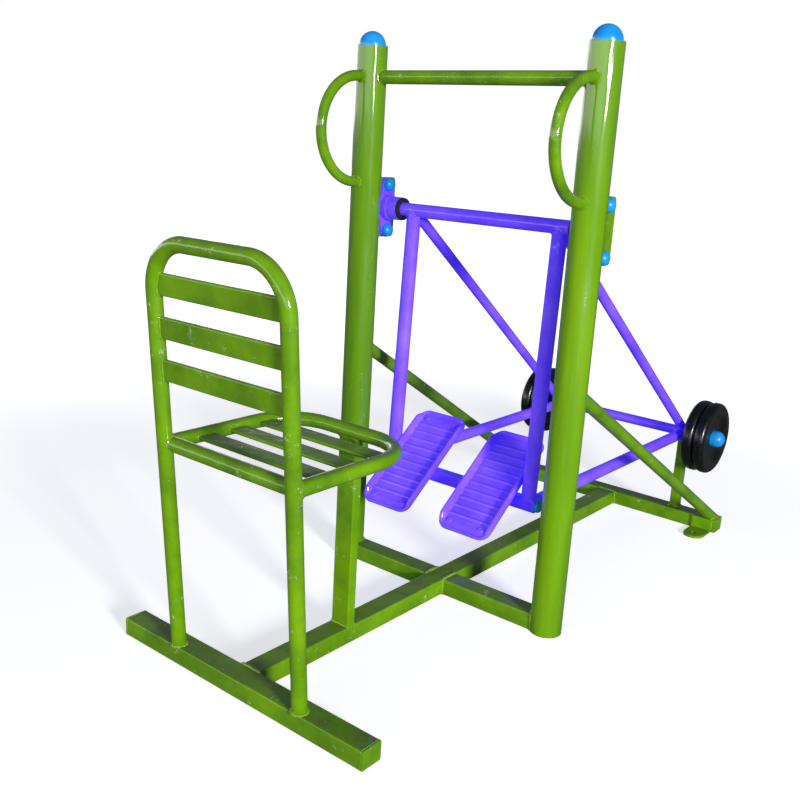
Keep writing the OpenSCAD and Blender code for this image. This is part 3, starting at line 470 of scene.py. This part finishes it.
def bead(path, size, closed=True):
    """Ring point k stands at P + a (cos t e1 + sin t e2). e1 halves the angle between the
    two surfaces, e2 is square to it and to the path, and the radius is
    a = size (1 + SWELL sin(2 pi s/SCALE + 6 wander) + wander), where wander is a sum of six
    slow waves of chance height."""
    p, n1, n2 = path
    ahead = np.roll(p, -1, 0) - np.roll(p, 1, 0) if closed else np.gradient(p, axis=0)
    ahead = unit(ahead)
    e1 = n1 + n2
    e1 = unit(e1 - ahead*(e1*ahead).sum(1, keepdims=True))
    e2 = np.cross(ahead, e1)
    step = np.linalg.norm(np.diff(p, axis=0, append=p[:1]), axis=1)
    s = np.cumsum(step) - step
    total = s[-1] + (step[-1] if closed else 0)
    turns = 2*np.pi*s/total
    wander = sum(chance.normal(0, 0.07)*np.sin(k*turns + chance.uniform(0, 6.28))
                 for k in range(2, 8))
    swell = SWELL*np.sin(2*np.pi*np.round(total/SCALE)*s/total + wander*6)
    a = size*(1 + swell + wander)
    if not closed:
        a = a*np.clip(np.minimum(s, total - s)/FADE, 0.02, 1)**0.5
    t = np.linspace(0, 2*np.pi, 8, endpoint=False)[None, :, None]
    ring = p[:, None] + a[:, None, None]*(np.cos(t)*e1[:, None] + np.sin(t)*e2[:, None])
    ring[..., 2] = np.maximum(ring[..., 2], ABOVE_GROUND)
    return ring, closed, True


def coped(centre, direction, radius, touch, size=BEAD_R):
    """The beads where a round tube ends on another part."""
    lines = slide(round_outline(centre, direction, radius), direction, touch)
    return [bead(line, size, closed) for line, closed in lines]


def boxed(centre, a, b, direction, bar, touch, size=BEAD_R):
    """The beads where a bar of a width, a height and a corner radius ends on another part."""
    lines = slide(bar_outline(centre, a, b, *bar), direction, touch)
    return [bead(line, size, closed) for line, closed in lines]


print("a usual bead is", round(2000*BEAD_R, 1), "mm wide, with a scale every", 1000*SCALE, "mm")

# %% [markdown]
# ## Welds of the backrest and the seat
# The backrest is one bent tube that leans by 4.2 degrees. Its legs stand on the rear
# crossbar, and three flat bars are let in between them, each welded all round. The seat's
# U-shaped tube ends on the legs, its slats end on its own sides and front bend, and a flat
# box tube holds its front up from the spine. SLAT and SUPPORT are a bar's width, height and
# corner radius.

# %% Seat welds
SLAT, SUPPORT = (0.045, 0.009, 0.0044), (0.050, 0.024, 0.003)
STRAIGHT, TOP_HALF, TOP_BEND, FRONT_BEND = 0.770, 0.088, 0.094, 0.112
up_leg = np.array([0, -np.sin(LEAN), np.cos(LEAN)])
back_of = np.array([0, np.cos(LEAN), np.sin(LEAN)])
foot = at(0, 13, 42)
top_of_bar = onto_plane(foot, Z)
front_bar = onto_box(at(-366, 1616, 0), at(366, 1670, 42))
spine_bar = onto_box(at(-27, 50, 0), at(27, 1620, 42))


def leg_line(side):
    """A backrest leg's centre line: straight up the leg, then a quarter of a circle."""
    t = np.linspace(0, np.pi/2, 24)[:, None]
    straight = foot + side*SEAT_X/1000*X + np.array([[0], [STRAIGHT]])*up_leg
    across, up = TOP_HALF + TOP_BEND*np.cos(t), STRAIGHT + TOP_BEND*np.sin(t)
    return np.concatenate([straight, foot + side*across*X + up*up_leg])


def ring_line(side):
    """One half of the seat ring's centre line: straight forward, then the front bend."""
    t = np.linspace(0, np.pi/2, 24)[:, None]
    straight = np.array([at(side*SEAT_X, -60, SEAT_Z), at(side*SEAT_X, 218, SEAT_Z)])
    bend = at(side*70, 218, SEAT_Z) + FRONT_BEND*(side*np.cos(t)*X + np.sin(t)*Y)
    return np.concatenate([straight, bend, [at(0, 330, SEAT_Z)]])


beads = []
for side in (-1, 1):
    leg = onto_tube(leg_line(side), LEG_R)
    ring = onto_tube(ring_line(side), LEG_R)
    beads += coped(foot + side*SEAT_X/1000*X + 0.04*up_leg, -up_leg, LEG_R, top_of_bar, 0.0036)
    beads += coped(at(side*SEAT_X, 60, SEAT_Z), -Y, LEG_R, leg)
    beads += coped(at(side*120, -11.6, SEAT_Z), side*X, LEG_R, leg)
    for height in (0.614, 0.6985, 0.783):
        beads += boxed(foot + side*0.12*X + height*up_leg, up_leg, back_of, side*X, SLAT, leg,
                       0.0024)
    for y in (72.5, 155.5, 238.5):
        beads += boxed(at(side*120, y, SEAT_Z), Y, Z, side*X, SLAT, ring, 0.0024)
whole_ring = onto_tube(np.concatenate([ring_line(-1), ring_line(1)[::-1]]), LEG_R)
beads += boxed(at(0, 333, 100), X, Y, -Z, SUPPORT, spine_bar, 0.0032)
beads += boxed(at(0, 333, 440), X, Y, Z, SUPPORT, whole_ring)
surface("seat_welds", beads, "stand", green_weld_drawn_lighter)

# %% [markdown]
# ## Welds of the posts
# Everything that leaves a post was cut to its curve and welded all round: the top bar, both
# ends of each handle, the braces and the cross arms. The 10 mm plates that carry the
# bearings have a straight bead along each face instead. BOX is the box tubes' width, height
# and corner radius.

# %% Post welds
BOX = (0.054, 0.042, 0.004)
beads = []
for side in (-1, 1):
    foot_end, high_end = at(side*POST_X, POST_Y, -50), at(side*POST_X, POST_Y, 1400)
    post = onto_tube(np.array([foot_end, high_end]), POST_R)
    beads += coped(at(side*200, POST_Y, 1254), side*X, LEG_R, post)
    for z in (1254, 1004):
        beads += coped(at(side*POST_X, 660, z) - 0.03*Y, Y, HANDLE_R, post, 0.0032)
    top, low = at(side*POST_X, POST_Y, 598), at(side*343, 1643, 42)
    down = unit(low - top)
    beads += coped(top + down*0.12, -down, BRACE_R, post)
    beads += coped(low - down*0.08, down, BRACE_R, front_bar, 0.0036)
    beads += boxed(at(side*200, POST_Y, 21), Y, Z, side*X, BOX, post, 0.0034)
    for x in (POST_X - 5, POST_X + 5):
        z = np.linspace(0.8685, 1.0135, 110)[:, None]
        front = POST_Y + np.sqrt((1000*POST_R)**2 - (x - POST_X)**2)
        line = at(side*x, front, 0) + z*Z
        outward = side*np.sign(x - POST_X)*X + 0*z
        from_middle = unit(line - at(side*POST_X, POST_Y, 0) - z*Z)
        beads.append(bead((line, outward, from_middle), 0.0026, False))
surface("post_welds", beads, "stand", green_weld_drawn_lighter)

# %% [markdown]
# ## Welds of the base
# The box tubes meet face to face, so these beads are rounded rectangles. At the crossbars'
# ends the closing plates were welded and ground almost flush, which leaves a thin line. The
# anchor feet have a bead along both edges. STOP is the stop posts' width, depth and corner
# radius.

# %% Base welds
STOP = (0.028, 0.028, 0.003)
rear_face, front_face = onto_plane(at(0, 54, 0), Y), onto_plane(at(0, 1616, 0), -Y)
beads = boxed(at(0, 200, 21), X, Z, -Y, BOX, rear_face, 0.0034)
beads += boxed(at(0, 1500, 21), X, Z, Y, BOX, front_face, 0.0034)
for side in (-1, 1):
    spine_side = onto_plane(at(side*27, 0, 0), side*X)
    beads += boxed(at(side*150, POST_Y, 21), Y, Z, -side*X, BOX, spine_side, 0.0034)
    beads += boxed(at(side*219, 1651, 100), X, Y, -Z, STOP, front_bar, 0.0032)
    for end, y in ((350, 27), (362, 1643)):
        outline = bar_outline(at(side*end, y, 21), Y, Z, *BOX)
        beads.append(bead((*outline, outline[1]), 0.0009))
    z = np.linspace(0.010, 0.038, 24)[:, None]
    for edge in (-1, 1):
        line = at(side*326 + edge*30, 1616, 0) + z*Z
        beads.append(bead((line, edge*X + 0*z, -Y + 0*z), 0.0026, False))
surface("base_welds", beads, "stand", green_weld_drawn_lighter)

# %% [markdown]
# ## Welds of the swing frame
# The same beads in violet enamel. A diagonal ends on two tubes at once, so its bead runs
# over whichever of the two it reaches first. Where a round tube is wider than the bar that
# it stands on, the bead stops at the bar's edge.

# %% Swing welds
beads = []
bar = onto_box(beam - [0.234, 0.015, 0.015], beam + [0.234, 0.015, 0.015], 0.003)
pivot_tube = onto_tube(np.array([pivot - 0.26*X, pivot + 0.26*X]), PIVOT_R)
axle_tube = onto_tube(np.array([axle - 0.25*X, axle + 0.25*X]), AXLE_R)
for side in (-1, 1):
    high = pivot + side*HANGER_X*X
    low = beam + side*HANGER_X*X + 0.015*Z
    front = axle + side*ARM_X*X
    up, down = unit(high - low), unit(front - high)
    hanger = onto_tube(np.array([low - 0.1*up, high + 0.1*up]), HANGER_R)
    arm = onto_tube(np.array([front - 0.8*Y, front]), ARM_R)
    beads += coped(high - 0.08*up, up, HANGER_R, pivot_tube)
    beads += coped(low + 0.05*up, -up, HANGER_R, bar)
    beads += coped(high + 0.12*down, -down, DIAGONAL_R, either(pivot_tube, hanger))
    beads += coped(front - 0.16*down, down, DIAGONAL_R, either(axle_tube, arm))
    beads += coped(front - 0.10*Y, Y, ARM_R, axle_tube)
    beads += coped(front - 0.7*Y, -Y, ARM_R, bar)
surface("swing_welds", beads, "swing", violet_weld)

# %% [markdown]
# ## Cast weight discs
# The discs are cast iron. Sand casting can't hold a sharp corner, so the rim, the dish's lip
# and the dish's floor all turn in arcs. One profile of distance along the axle and radius
# describes the whole disc, and turning it round the axle makes the surface. The dish's floor
# carries concentric marks a tenth of a millimetre high, left by the lathe that faced it.

# %% Weight discs
MARK, MARK_PITCH = 0.05, 1.8


def arc(x, r, size, start, end, steps):
    """Points (x + size cos t, r + size sin t), from one angle to another in degrees."""
    t = np.radians(np.linspace(start, end, steps))
    return np.stack([x + size*np.cos(t), r + size*np.sin(t)], 1)


def disc_profile():
    """Bore, flat back, rounded rim, face, dish lip of 3 mm, slope at 45 degrees, dish floor
    fillet of 6 mm and floor: written in millimetres and divided by 1000."""
    floor_r = np.linspace(58, 22, 60)
    marks = 24 + MARK*np.sin(2*np.pi*floor_r/MARK_PITCH)
    return np.concatenate([
        [[0.3, 10.4], [0, 10.9], [0, 40], [0, 95]],
        arc(14, 95, 14, 180, 90, 16), arc(21, 95, 14, 90, 0, 16),
        [[35, 88]], arc(32, 79.3, 3, 0, -45, 6), arc(30, 60.9, 6, 135, 180, 8),
        np.stack([marks, floor_r], 1), [[24, 11], [23.5, 10.4]]])/1000


disc = turned(disc_profile(), 160)
for name, node, near in (("inner_discs", "inner_weights", 0.250),
                         ("outer_discs", "outer_weights", 0.285)):
    grids = [(disc*[side, 1, 1] + [side*near, axle[1], axle[2]], True, True)
             for side in (-1, 1)]
    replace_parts(surface(name, grids, "swing", black_iron, 34), node)

# %% [markdown]
# ## Pressed footplates
# A footplate is a tray. Its long sides rise 15 mm above the tread and lean outwards, so a
# foot slides in but not off. Low lips close both ends, and round-backed ribs cross the
# tread. All of it is one height over a rounded rectangle. The measures are in millimetres:
# the rectangle's half sides without its corners' radius, the heights of web, wall, lip and
# rib, a rib's half width, where the ribs end, and the edges' radius.

# %% Footplates
HALF_X, HALF_Y, CORNER = 46.5, 129.5, 26
WEB, WALL, LIP, RIB, RIB_HALF, RIBS_END, EDGE = 5, 15, 4, 2.6, 6.0, 134.7, 1.5
TILT = np.radians(38)
slope_y = np.array([0, np.cos(TILT), np.sin(TILT)])
slope_z = np.array([0, -np.sin(TILT), np.cos(TILT)])


def smooth(a, b, x):
    """0 below a, 1 above b, and 3t^2 - 2t^3 between them."""
    t = np.clip((x - a)/(b - a), 0, 1)
    return t*t*(3 - 2*t)


def on_plate(side, p):
    """Millimetres across, along and above a plate to metres in the CAD's frame."""
    base = beam + side*0.120*X + 0.001*slope_y + 0.0365*slope_z
    p = np.asarray(p)/1000
    return base + p[..., :1]*X + p[..., 1:2]*slope_y + p[..., 2:]*slope_z


def tray(side):
    """Top: z = WEB + max(wall, lip, rib). The walls are WALL (1 - smooth(4.5, 15, the way in
    from the side)) and sink to the lips at the ends, the lips are LIP (1 - smooth(3, 8, d))
    with d the way in from the outline, and a rib is a raised cosine. The upper edge is
    rounded by EDGE and that of the flat underside by 1 mm."""
    t = np.linspace(0, np.pi/2, 10)
    y_end = HALF_Y + CORNER*np.sin(t)
    y = np.unique(np.concatenate([-y_end, np.linspace(-HALF_Y, HALF_Y, 340), y_end]).round(4))
    u = np.concatenate([np.linspace(-1, -0.72, 34)[:-1], np.linspace(-0.72, 0.72, 40),
                        np.linspace(0.72, 1, 34)[1:]])
    half = HALF_X + np.sqrt(np.maximum(CORNER**2 - np.maximum(np.abs(y) - HALF_Y, 0)**2, 0))
    x, y2 = half[:, None]*u, y[:, None] + 0*u
    qx, qy = np.abs(x) - HALF_X, np.abs(y2) - HALF_Y
    beyond = np.hypot(np.maximum(qx, 0), np.maximum(qy, 0))
    d = CORNER - beyond - np.minimum(np.maximum(qx, qy), 0)
    along = smooth(118, 152, np.abs(y2))
    inner = 1 - smooth(4.5, 15, HALF_X + CORNER - np.abs(x))
    wall = WALL*inner*(1 - along)
    lip = LIP*(1 - smooth(3, 8, d))
    pitch = 2*RIBS_END/11
    phase = (y2 + RIBS_END) % pitch
    near = np.clip(np.minimum(phase, pitch - phase)/RIB_HALF, 0, 1)
    rib = RIB*0.5*(1 + np.cos(np.pi*near))*(1 - smooth(132, 136, np.abs(y2)))
    z = WEB + np.maximum(np.maximum(wall, lip), rib*(1 - inner))
    z = z - EDGE + np.sqrt(np.maximum(EDGE**2 - np.maximum(EDGE - d, 0)**2, 0))
    top = np.stack([x, y2, z], -1)
    under = 1 - np.sqrt(np.maximum(1 - np.maximum(1 - d, 0)**2, 0))
    low = np.stack([x, y2, np.minimum(under, z)], -1)
    grid = np.concatenate([top, low[:, ::-1]], 1)
    ends = grid[[0, -1]].copy()
    middle = (top[[0, -1], :, 2] + low[[0, -1], :, 2])/2
    ends[:, :, 2] = np.concatenate([middle, middle[:, ::-1]], 1)
    return on_plate(side, np.concatenate([ends[:1], grid, ends[1:]]))


for side, name in ((-1, "left"), (1, "right")):
    piece = surface(f"{name}_tray", [(tray(side), False, True)], "swing", violet_enamel,
                    60)
    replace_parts(piece, f"{name}_footplate")

# %% [markdown]
# ## Screws of the footplates
# Four socket screws hold each footplate. They were painted over together with the plate, so
# only the shade in the socket shows them. A screw is a turned shape again, here about the
# plate's own upright. Its profile is a radius and a height above the web's underside, in
# millimetres: shank, rounded head and socket.

# %% Plate screws
screw = np.array([[0, -12], [3.2, -12], [4, -11.2], [4, 5], [6.9, 5], [7.2, 5.4], [7.2, 6.6],
                  [6.4, 7.7], [4.6, 8], [2.9, 8], [2.6, 7.6], [2.6, 5.8], [0, 5.8]])
t = np.linspace(0, 2*np.pi, 32, endpoint=False)[None, :]
r, z = screw[:, :1], screw[:, 1:]
head = np.stack([r*np.cos(t), r*np.sin(t), z + 0*t], -1)
grids = [(on_plate(side, head + [dx, dy, 0]), False, True)
         for side in (-1, 1) for dx in (-45, 45) for dy in (-131, 131)]
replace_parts(surface("socket_screws", grids, "swing", violet_enamel, 50),
            "plate_screws")

# %% [markdown]
# ## The floor
# The background is white, and only the shade near the object shows that it stands on
# something. So the camera sees a pale floor that glows more and more away from the object,
# until it is plain white and has no edge. All other rays meet a plain grey floor, which
# throws no more light up at the object than bare ground does.

# %% Floor
def seen_white(tree):
    """1 for the camera's rays and for those that pass through something, 0 for all others."""
    path = add(tree, "ShaderNodeLightPath")
    seen = add(tree, "ShaderNodeMath", {"operation": "MAXIMUM"},
               {0: path.outputs["Is Camera Ray"], 1: path.outputs["Is Transmission Ray"]})
    return seen.outputs[0]


floor_material = bpy.data.materials.new("pale_floor")
floor_material.use_nodes = True
tree = floor_material.node_tree
tree.nodes.clear()
plain = add(tree, "ShaderNodeBsdfDiffuse", {"Color": linear("#8C8C88")})
pale = add(tree, "ShaderNodeBsdfDiffuse", {"Color": linear("#F4F4F4")})
spot = add(tree, "ShaderNodeTexCoord").outputs["Object"]
away = add(tree, "ShaderNodeVectorMath", {"operation": "LENGTH"}, {0: spot})
fade = add(tree, "ShaderNodeMapRange", {"interpolation_type": "SMOOTHSTEP", "From Min": 1.2,
           "From Max": 3.5, "To Min": 0.62, "To Max": 1.0}, {"Value": away.outputs["Value"]})
glow = add(tree, "ShaderNodeEmission", {"Color": (1, 1, 1, 1)}, {"Strength": fade.outputs[0]})
shown = add(tree, "ShaderNodeAddShader", links={0: pale.outputs[0], 1: glow.outputs[0]})
pick = add(tree, "ShaderNodeMixShader", links={0: seen_white(tree), 1: plain.outputs[0],
                                               2: shown.outputs[0]})
add(tree, "ShaderNodeOutputMaterial", links={"Surface": pick.outputs[0]})
mesh = bpy.data.meshes.new("floor")
mesh.from_pydata([(-30, -30, 0), (30, -30, 0), (30, 30, 0), (-30, 30, 0)], [], [(0, 1, 2, 3)])
mesh.materials.append(floor_material)
floor = bpy.data.objects.new("floor", mesh)
bpy.context.scene.collection.objects.link(floor)
print("floor:", floor.name, "of", floor_material.name)

# %% [markdown]
# ## The sky
# Gloss paint shows what stands around it. The sky here is dim and bluish, and a pale strip
# stands low in it behind the seat, which the posts mirror above the camera's height. The
# strip lights the object a little from that side too. The camera, and a ray that passes
# through something, sees plain white instead.

# %% Sky
world = bpy.data.worlds.new("open_sky")
world.use_nodes = True
bpy.context.scene.world = world
tree = world.node_tree
tree.nodes.clear()
where = add(tree, "ShaderNodeTexCoord")
axes = add(tree, "ShaderNodeSeparateXYZ", links={0: where.outputs["Generated"]})
dome = add(tree, "ShaderNodeValToRGB", links={0: axes.outputs[2]},
           stops=[(0.0, (0.15, 0.16, 0.19, 1)), (0.3, (0.11, 0.12, 0.17, 1)),
                  (1.0, (0.08, 0.09, 0.14, 1))])
facing = add(tree, "ShaderNodeVectorMath", {"operation": "DOT_PRODUCT",
             1: (-0.71, -0.71, 0)}, {0: where.outputs["Generated"]})
behind = add(tree, "ShaderNodeMapRange", {"interpolation_type": "SMOOTHSTEP",
             "From Min": -0.25, "From Max": 0.25}, {"Value": facing.outputs["Value"]})
low = add(tree, "ShaderNodeValToRGB", links={0: axes.outputs[2]},
          stops=[(0.005, (0, 0, 0, 1)), (0.025, (1, 1, 1, 1)), (0.15, (1, 1, 1, 1)),
                 (0.28, (0, 0, 0, 1))])
strip = add(tree, "ShaderNodeMath", {"operation": "MULTIPLY"},
            {0: behind.outputs[0], 1: low.outputs[0]})
sky = add(tree, "ShaderNodeBackground", {"Strength": 1.0}, {"Color": dome.outputs[0]})
pale = add(tree, "ShaderNodeBackground", {"Color": (1, 1, 1, 1), "Strength": 3.2})
both = add(tree, "ShaderNodeMixShader", links={0: strip.outputs[0], 1: sky.outputs[0],
                                               2: pale.outputs[0]})
white = add(tree, "ShaderNodeBackground", {"Color": (1, 1, 1, 1), "Strength": 1.0})
pick = add(tree, "ShaderNodeMixShader", links={0: seen_white(tree), 1: both.outputs[0],
                                               2: white.outputs[0]})
add(tree, "ShaderNodeOutputWorld", links={"Surface": pick.outputs[0]})
print("sky:", world.name)

# %% [markdown]
# ## The sun
# The photograph's shadows show where its light comes from: from the right and only about 12
# degrees above the ground, like a sun in a hazy morning. Level faces are dark under it, and
# what stands upright and faces right is bright. A square lamp 1.2 m wide some 8 m away gives
# shadows with slightly soft edges.

# %% Sun
light = bpy.data.lights.new("sun", "AREA")
light.energy, light.size = 600, 1.2
sun = bpy.data.objects.new("sun", light)
place, target = Vector((7.14, -3.18, 2.20)), Vector((0, 0, 0.5))
sun.location = place
sun.rotation_euler = (target - place).to_track_quat("-Z", "Y").to_euler()
bpy.context.scene.collection.objects.link(sun)

# %% [markdown]
# ## The camera
# To compare a render with the photograph, the camera has to stand where the photograph's
# stood. It was solved from the straight tubes and then fitted to the object's whole outline:
# its place, the directions to its right, up and back, and a lens of 43 mm on a 36 mm sensor.

# %% Camera
camera = bpy.data.objects.new("camera", bpy.data.cameras.new("camera"))
bpy.context.scene.collection.objects.link(camera)
camera.data.sensor_width, camera.data.lens = 36, 43.307
right, upward, backward = ((0.771696, 0.633483, 0.056438), (-0.206448, 0.165576, 0.964346),
                           (0.601552, -0.755834, 0.258555))
turn = Matrix((right, upward, backward)).transposed().to_4x4()
camera.matrix_world = Matrix.Translation((1.3169, -2.0072, 1.1050)) @ turn
bpy.context.scene.camera = camera
bpy.context.scene.view_settings.view_transform = "Standard"
print("camera at", tuple(round(c, 3) for c in camera.location))
